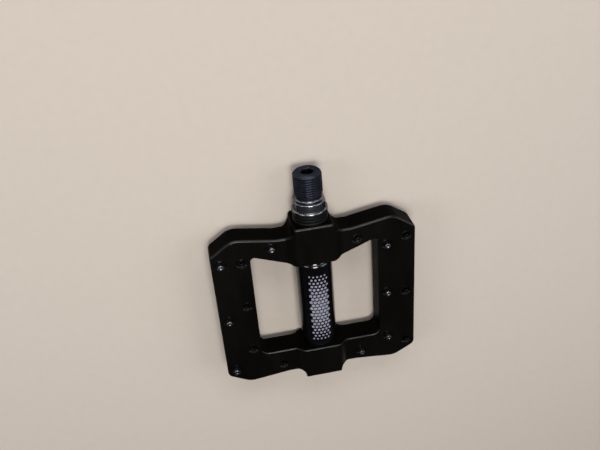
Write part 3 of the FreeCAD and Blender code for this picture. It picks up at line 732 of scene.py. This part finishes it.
def without_slivers(mesh):
    """Take out the faces of no area that a cut leaves where it only just touches a point."""
    shaped = bmesh.new()
    shaped.from_mesh(mesh)
    bmesh.ops.dissolve_degenerate(shaped, dist=SLIVER_LENGTH, edges=shaped.edges)
    shaped.to_mesh(mesh)
    shaped.free()


def add_platform():
    """The moulded platform, with a bore for the sleeve in each hub and a soft lip at each mouth."""
    vertices, faces = platform_shell()
    piece = finish_mesh("platform_body_shell", vertices, faces, moulded_nylon(), PLATFORM,
                        ["platform_body"])
    lip = BORE_LIP
    cut_with(piece, [
        (SPIGOT_RADIUS + lip + 1, HUB_FACE - 1), (SPIGOT_RADIUS + lip, HUB_FACE),
        (SPIGOT_RADIUS, HUB_FACE + lip), (SPIGOT_RADIUS, SLEEVE_START),
        (SLEEVE_NECK, SLEEVE_START), (SLEEVE_NECK, HUB_INNER - lip),
        (SLEEVE_NECK + lip, HUB_INNER), (SLEEVE_NECK + lip + 1, HUB_INNER + 1)])
    cut_with(piece, [
        (SLEEVE_NECK + lip + 1, OUTER_HUB_INNER - 1), (SLEEVE_NECK + lip, OUTER_HUB_INNER),
        (SLEEVE_NECK, OUTER_HUB_INNER + lip), (SLEEVE_NECK, SLEEVE_END),
        (CAP_BORE, SLEEVE_END), (CAP_BORE, OUTER_FACE - lip),
        (CAP_BORE + lip, OUTER_FACE), (CAP_BORE + lip + 1, OUTER_FACE + 1)])
    without_slivers(piece.data)
    shade_smooth(piece.data)
    even_normals(piece)


# ---------------------------------------------------------------- spindle

THREAD_RADIUS = 7.144
THREAD_PITCH = 1.27
THREAD_DEPTH = 0.78
THREAD_LENGTH = 14.5
THREAD_CHAMFER = 1.0
RINGS_PER_TURN = 10
GROOVE_FLANK = (0.16, 0.86)
GROOVE_FADE = (2.2, 3.6)
NECK_FADE = (2.0, 3.2)
NECK_RADIUS = 6.25
WRENCH_HALF_FLATS = 7.5
WRENCH_SHARPNESS = 60.0
KEY_HALF_FLATS = 3.0

# Profiles as (radius, Y): the thread's relief neck, the collar, and the flange and hidden shaft
NECK = [(NECK_RADIUS, 2.0), (NECK_RADIUS, 0.7), (NECK_RADIUS + 0.06, 0.4),
        (NECK_RADIUS + 0.2, 0.18), (NECK_RADIUS + 0.42, 0.04), (NECK_RADIUS + 0.7, 0.0)]
COLLAR = [(8.2, 0.0), (8.4, -0.04), (8.58, -0.15), (8.7, -0.32), (8.75, -0.55),
          (8.75, -3.75), (8.68, -3.93), (8.5, -4.06), (8.35, -4.1)]
FLANGE_AND_SHAFT = [
    (8.2, -4.1), (8.2, -4.62), (8.28, -4.7), (8.5, -4.7), (8.68, -4.75), (8.83, -4.87),
    (8.94, -5.05), (9.0, -5.3), (9.0, -6.1), (8.94, -6.3), (8.78, -6.45), (8.5, -6.5),
    (6.0, -6.5), (6.0, -34.2), (5.9, -34.5), (5.0, -34.5), (5.0, -42.0), (4.3, -92.5),
    (3.5, -92.5), (3.5, -97.5), (3.0, -97.5), (3.0, -102.0), (2.6, -102.4)]


def hexagon(half_flats, angles):
    """Radii of a hexagon with two corners on the first axis."""
    sixth = math.tau / 6
    return half_flats / np.cos(angles % sixth - sixth / 2)


def wrench_section(radius, angles):
    """Radii of a round section with two flats across it, and a soft corner where they meet."""
    flat = WRENCH_HALF_FLATS / np.maximum(np.abs(np.cos(angles)), 0.01)
    nearer, farther = np.minimum(radius, flat), np.maximum(radius, flat)
    return nearer * (1.0 + (nearer / farther) ** WRENCH_SHARPNESS) ** (-1.0 / WRENCH_SHARPNESS)


def thread_rings(angles):
    """The crank thread: a right-handed groove that fades out at its tip and at its relief neck."""
    turn = angles / math.tau
    rings = []
    step = THREAD_PITCH / RINGS_PER_TURN
    for height in np.arange(THREAD_LENGTH - 0.05, GROOVE_FADE[0], -step):
        phase = (height / THREAD_PITCH + turn) % 1.0
        flank = np.abs(phase - 0.5) * 2.0
        groove = 1.0 - smooth_step(flank, *GROOVE_FLANK)
        depth = THREAD_DEPTH * smooth_step(height, *GROOVE_FADE)
        from_tip = THREAD_LENGTH - height
        chamfer = THREAD_RADIUS - max(0.0, THREAD_CHAMFER - from_tip)
        narrowed = 1.0 - smooth_step(height, *NECK_FADE)
        neck = THREAD_RADIUS + (NECK_RADIUS - THREAD_RADIUS) * narrowed
        radii = np.minimum(min(chamfer, neck), neck - groove * depth)
        rings.append(around(radii, height, angles))
    return rings


def add_spindle():
    """The spindle as one stack of rings, from the bottom of its key socket to its outer end."""
    angles = even_angles(180)
    socket = hexagon(KEY_HALF_FLATS, angles)
    rings = [around(socket * 0.98, THREAD_LENGTH - 8.0, angles),
             around(socket, THREAD_LENGTH - 7.9, angles),
             around(socket, THREAD_LENGTH - 0.35, angles),
             around(np.maximum(socket + 0.1, 3.55), THREAD_LENGTH, angles),
             around(THREAD_RADIUS - 1.25, THREAD_LENGTH, angles)]
    rings += thread_rings(angles)
    rings += [around(radius, height, angles) for radius, height in NECK]
    rings += [around(wrench_section(radius, angles), height, angles) for radius, height in COLLAR]
    rings += [around(radius, height, angles) for radius, height in FLANGE_AND_SHAFT]
    vertices, faces = capped(rings)
    piece = finish_mesh("spindle_detailed", vertices, faces, dark_steel(), SPINDLE,
                        ["spindle"], sharp_deg=28.0)
    even_normals(piece)


# ---------------------------------------------------------------- barrel and seal

BARREL_RADIUS = 9.5
BARREL_START = 34.9
BARREL_END = 87.2
BARREL_FOOT = 8.62
SHOULDER_RISE = 0.86
SHOULDER_LENGTH = 2.4

# The field of dots: its stations, its rows and the distance between them, all on the barrel
PRINT_START = 41.5
PRINT_END = 82.0
PRINT_ROWS = 5
PRINT_PITCH = 2.05

SEAL_INNER_RADIUS = 6.05
RIB_RADIUS = 8.8
RIB_GROOVE_RADIUS = 8.0
RIB_SOFTNESS = 0.24
RIBS = [(6.9, 7.7), (8.5, 9.3), (10.1, 11.5)]


def soft_shoulder(station, way, steps=10):
    """Profile points over an elliptical shoulder: way is +1 where the barrel starts, else -1."""
    points = []
    for share in np.linspace(0.0, 1.0, steps + 1):
        angle = (share if way > 0 else 1.0 - share) * math.pi / 2
        radius = BARREL_RADIUS - SHOULDER_RISE * (1 - math.sin(angle))
        points.append((radius, station + way * SHOULDER_LENGTH * (1 - math.cos(angle))))
    return points


def add_barrel():
    """The sleeve: a neck in each hub, the barrel between them, and the bearings' seats inside."""
    profile = [(7.5, SLEEVE_START), (8.3, SLEEVE_START), (SLEEVE_NECK, 15.2),
               (SLEEVE_NECK, 34.7), (BARREL_FOOT, BARREL_START)]
    profile += soft_shoulder(BARREL_START, 1)
    profile += soft_shoulder(BARREL_END, -1)
    profile += [(BARREL_FOOT, BARREL_END), (SLEEVE_NECK, 87.35), (SLEEVE_NECK, 105.8),
                (8.3, SLEEVE_END), (7.0, SLEEVE_END), (7.0, 92.5), (6.4, 92.5), (6.4, 38.5),
                (7.5, 38.5)]
    vertices, faces = lathe(profile, count=144)
    finish_mesh("barrel_sleeve_turned", vertices, faces, glossy_barrel(), PLATFORM,
                ["barrel_sleeve"])


def printed_dot(station, across, radius, segments=18):
    """A dot of ink on the barrel, as a thin closed shell. Across is measured round the tube."""
    turn = even_angles(segments)
    along = station + radius * np.cos(turn)
    bend = (across + radius * np.sin(turn)) / BARREL_RADIUS
    rings = []
    for above_barrel, shrink in ((-0.05, 1.0), (0.02, 1.0), (0.03, 0.97)):
        height = BARREL_RADIUS + above_barrel
        shrunk = bend * shrink + (1 - shrink) * across / BARREL_RADIUS
        rings.append(np.stack((height * np.sin(shrunk),
                               -(station + (along - station) * shrink),
                               height * np.cos(bend)), axis=1))
    return capped(rings)


def add_barrel_print():
    """A generic field of dots, largest in the middle of its length and fading to both ends."""
    columns = round((PRINT_END - PRINT_START) / PRINT_PITCH)
    dots = []
    for column in range(columns + 1):
        along = column / columns
        station = PRINT_START + (PRINT_END - PRINT_START) * along
        swell = math.sin(math.pi * (0.12 + 0.76 * along))
        stagger = 0.5 if column % 2 else 0.0
        for row in range(PRINT_ROWS):
            across = (row - (PRINT_ROWS - 1) / 2 + stagger - 0.25) * PRINT_PITCH
            dots.append(printed_dot(station, across + 0.2, 0.30 + 0.62 * swell))
    vertices, faces = joined(dots)
    finish_mesh("barrel_print_dots", vertices, faces, printed_ink(), PLATFORM)


def add_dust_seal():
    """Three rounded ribs, with grooves between them, and the spigot in the hub's recess."""
    soft = RIB_SOFTNESS
    profile = [(SEAL_INNER_RADIUS, 14.0), (SEAL_INNER_RADIUS, 7.05),
               (SEAL_INNER_RADIUS + 0.15, 6.9)]
    for index, (start, end) in enumerate(RIBS):
        first, last = index == 0, index == len(RIBS) - 1
        profile += [(RIB_RADIUS - 0.5 if first else RIB_GROOVE_RADIUS, start),
                    (RIB_RADIUS - soft * 0.7, start), (RIB_RADIUS - 0.07, start + soft * 0.3),
                    (RIB_RADIUS, start + soft), (RIB_RADIUS, end - soft),
                    (RIB_RADIUS - 0.07, end - soft * 0.3), (RIB_RADIUS - soft * 0.7, end),
                    (SPIGOT_RADIUS if last else RIB_GROOVE_RADIUS, end)]
    profile += [(SPIGOT_RADIUS, 13.7), (7.5, 14.0)]
    vertices, faces = lathe(profile)
    rubber = plain_rubber("seal_rubber", (0.002, 0.002, 0.002))
    finish_mesh("dust_seal_ribbed", vertices, faces, rubber, PLATFORM, ["dust_seal"])


# ---------------------------------------------------------------- grip pins

# A pin's outline as (radius, height) from its sunk head up to its dimpled tip
PIN_OUTLINE = [
    (1.55, -5.5), (1.78, -5.46), (1.94, -5.33), (2.0, -5.15), (2.0, 5.85), (1.9, 6.0),
    (1.74, 6.04), (1.68, 6.5), (1.47, 9.2), (1.41, 9.36), (1.28, 9.46), (1.12, 9.5),
    (0.62, 9.5), (0.5, 9.44), (0.2, 9.3)]
PIN_KEY_HALF_FLATS = 1.0


def add_grip_pins(name, places, side, node):
    """Eight studs: side is +1 when the tips stand up and -1 when they point down."""
    angles = even_angles(48)
    key = hexagon(PIN_KEY_HALF_FLATS, angles)
    socket = [(key * 0.96, -3.3), (key, -3.4), (key, -5.3), (np.maximum(key + 0.08, 1.24), -5.5)]
    parts = []
    for across, station in places:
        rings = []
        for radius, height in socket + PIN_OUTLINE:
            radii = np.broadcast_to(radius, angles.shape)
            rings.append(np.stack((across + radii * np.cos(angles),
                                   -station + radii * np.sin(angles),
                                   np.full_like(angles, side * height)), axis=1))
        parts.append(capped(rings))
    vertices, faces = joined(parts)
    piece = finish_mesh(name, vertices, faces, pin_steel(), PLATFORM, [node],
                        sharp_deg=40.0)
    even_normals(piece)


# ---------------------------------------------------------------- CAD pieces that stay

def join_split_edges(piece):
    """Join a CAD piece's doubled vertices as it is drawn, which also drops faces of no area."""
    weld = piece.modifiers.new("join_split_edges", "WELD")
    weld.merge_threshold = JOIN_DISTANCE


def soften_edges(piece, width_mm):
    """Round a CAD piece's sharp edges as it is drawn. Its own mesh is left alone."""
    join_split_edges(piece)
    bevel = piece.modifiers.new("soft_edges", "BEVEL")
    bevel.width = width_mm * MM
    bevel.segments = 3
    bevel.limit_method = "ANGLE"
    bevel.angle_limit = math.radians(50.0)
    bevel.use_clamp_overlap = True
    even_normals(piece)


def dress_cad_nodes():
    """Materials for the CAD pieces that are shown as they are."""
    steel = plain_metal("bearing_steel", (0.55, 0.56, 0.58), (0.66, 0.67, 0.69), (0.08, 0.16))
    plated = plain_metal("plated_steel", (0.50, 0.50, 0.50), (0.62, 0.62, 0.60), (0.24, 0.38))
    cage = plain_plastic("cage_nylon", (0.50, 0.44, 0.32), (0.60, 0.54, 0.42))
    shield = plain_rubber("shield_rubber", (0.10, 0.018, 0.016))
    seal = plain_rubber("black_rubber", (0.004, 0.004, 0.004))
    cap = plain_plastic("cap_plastic", (0.004, 0.004, 0.004), (0.007, 0.007, 0.007))
    looks = {
        "end_cap_ring": seal, "end_cap": cap, "axle_washer": plated, "axle_nut": plated,
        "plain_bush": plain_plastic("bush_polymer", (0.36, 0.30, 0.18), (0.46, 0.40, 0.27)),
    }
    for end in ("inboard", "outboard"):
        looks.update({f"{end}_inner_race": steel, f"{end}_outer_race": steel, f"{end}_balls": steel,
                      f"{end}_cage": cage, f"{end}_shields": shield})
    for node, material in looks.items():
        paint(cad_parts[node], material)
    soften_edges(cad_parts["end_cap"], width_mm=0.22)
    for node in ("inboard_balls", "outboard_balls"):
        join_split_edges(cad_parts[node])


add_camera()
add_stage()
dress_cad_nodes()
add_platform()
add_spindle()
add_barrel()
add_barrel_print()
add_dust_seal()
add_grip_pins("upper_grip_pins_turned", UPPER_PINS, 1, "upper_grip_pins")
add_grip_pins("lower_grip_pins_turned", LOWER_PINS, -1, "lower_grip_pins")
